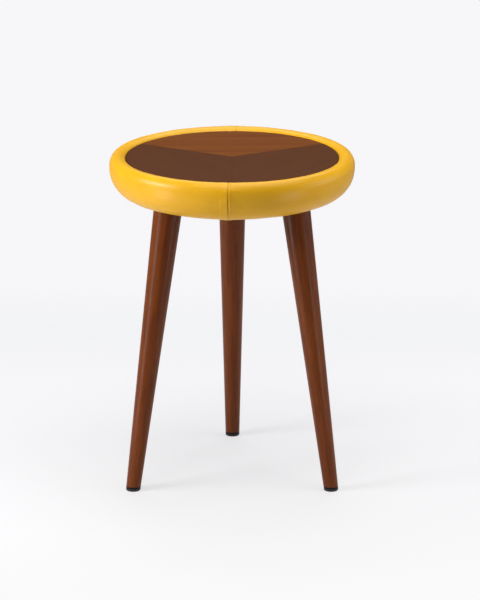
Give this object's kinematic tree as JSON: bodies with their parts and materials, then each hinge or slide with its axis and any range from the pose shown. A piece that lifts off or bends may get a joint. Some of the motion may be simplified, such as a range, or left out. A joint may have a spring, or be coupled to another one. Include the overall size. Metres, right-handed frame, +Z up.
{
  "type": "side table",
  "caption": "Round side table: a veneered wooden top set inside a padded leather rim, on splayed, tapered turned legs with foot glides.",
  "frame": {"origin": "on the floor under the middle of the top", "axes": "+Z up, -Y towards the front of the picture's view, with two legs flanking the front and one at the back (+Y)"},
  "size_m": [0.3998, 0.3998, 0.5459],
  "materials": {
    "light_veneer": "satin lacquer, red-brown, streaky grain",
    "dark_veneer": "satin lacquer, dark brown",
    "stained_wood": "satin walnut stain",
    "plywood": "raw, sanded",
    "fibreboard": "raw",
    "yellow_leather": "smooth, semi-gloss",
    "foam": "open-cell upholstery foam",
    "black_cloth": "non-woven",
    "black_plastic": "moulded",
    "zinc_steel": "zinc plated"
  },
  "bodies": {
    "root": {"veneer_back": "light_veneer", "veneer_left": "dark_veneer", "veneer_right": "dark_veneer", "top_panel": "fibreboard", "leather_left": "yellow_leather", "leather_right": "yellow_leather", "foam_ring": "foam", "top_board": "plywood", "spacer_ring": "plywood", "bottom_board": "plywood", "dust_cover": "black_cloth", "leg_1": "stained_wood", "leg_2": "stained_wood", "leg_3": "stained_wood", "foot_glide_1": "black_plastic", "foot_glide_2": "black_plastic", "foot_glide_3": "black_plastic", "leg_plate_1": "zinc_steel", "leg_plate_2": "zinc_steel", "leg_plate_3": "zinc_steel", "hanger_bolt_1": "zinc_steel", "hanger_bolt_2": "zinc_steel", "hanger_bolt_3": "zinc_steel", "glide_nail_1": "zinc_steel", "glide_nail_2": "zinc_steel", "glide_nail_3": "zinc_steel", "plate_screw_1_1": "zinc_steel", "plate_screw_1_2": "zinc_steel", "plate_screw_1_3": "zinc_steel", "plate_screw_1_4": "zinc_steel", "plate_screw_2_1": "zinc_steel", "plate_screw_2_2": "zinc_steel", "plate_screw_2_3": "zinc_steel", "plate_screw_2_4": "zinc_steel", "plate_screw_3_1": "zinc_steel", "plate_screw_3_2": "zinc_steel", "plate_screw_3_3": "zinc_steel", "plate_screw_3_4": "zinc_steel", "core_screw_1": "zinc_steel", "core_screw_2": "zinc_steel", "core_screw_3": "zinc_steel", "core_screw_4": "zinc_steel", "core_screw_5": "zinc_steel", "core_screw_6": "zinc_steel", "panel_screw_1": "zinc_steel", "panel_screw_2": "zinc_steel", "panel_screw_3": "zinc_steel", "panel_screw_4": "zinc_steel", "panel_screw_5": "zinc_steel", "panel_screw_6": "zinc_steel"}
  },
  "joints": []
}
